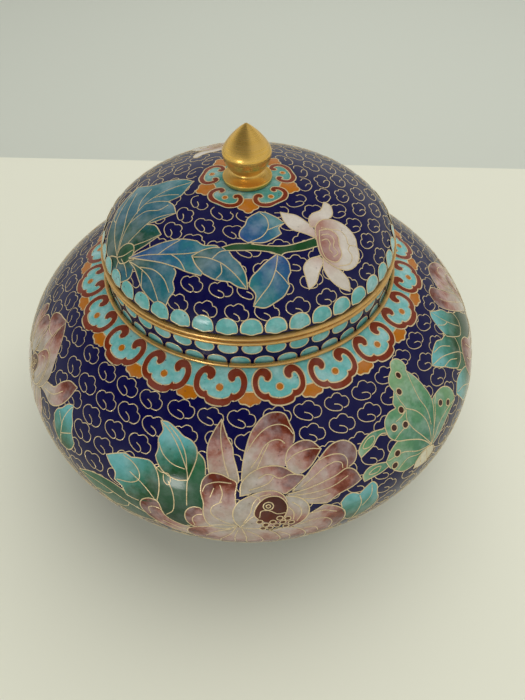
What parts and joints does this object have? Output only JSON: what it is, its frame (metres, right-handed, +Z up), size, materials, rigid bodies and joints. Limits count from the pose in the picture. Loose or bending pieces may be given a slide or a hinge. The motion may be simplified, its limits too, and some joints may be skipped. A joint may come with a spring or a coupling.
{
  "type": "cloisonne ginger jar",
  "caption": "Squat round cloisonne jar, hollow, on a low metal foot ring, with a short neck and a domed lift-off lid that carries a turned bud finial.",
  "frame": {"origin": "on the table, at the centre of the underside of the foot ring", "axes": "+Z up along the jar's axis of turning; -Y towards the side that carries the large peony"},
  "size_m": [0.165, 0.165, 0.1262],
  "materials": {
    "cobalt_enamel": "fired and polished enamel in gilt wire cells, on copper",
    "gilt_brass": "gilt and polished",
    "turned_brass": "turned, satin"
  },
  "bodies": {
    "root": {"jar_body": "cobalt_enamel", "foot_rim": "gilt_brass", "shoulder_wire": "gilt_brass", "mouth_rim": "gilt_brass", "lid_rim": "gilt_brass", "lid_dome": "cobalt_enamel", "finial": "turned_brass"}
  },
  "joints": []
}
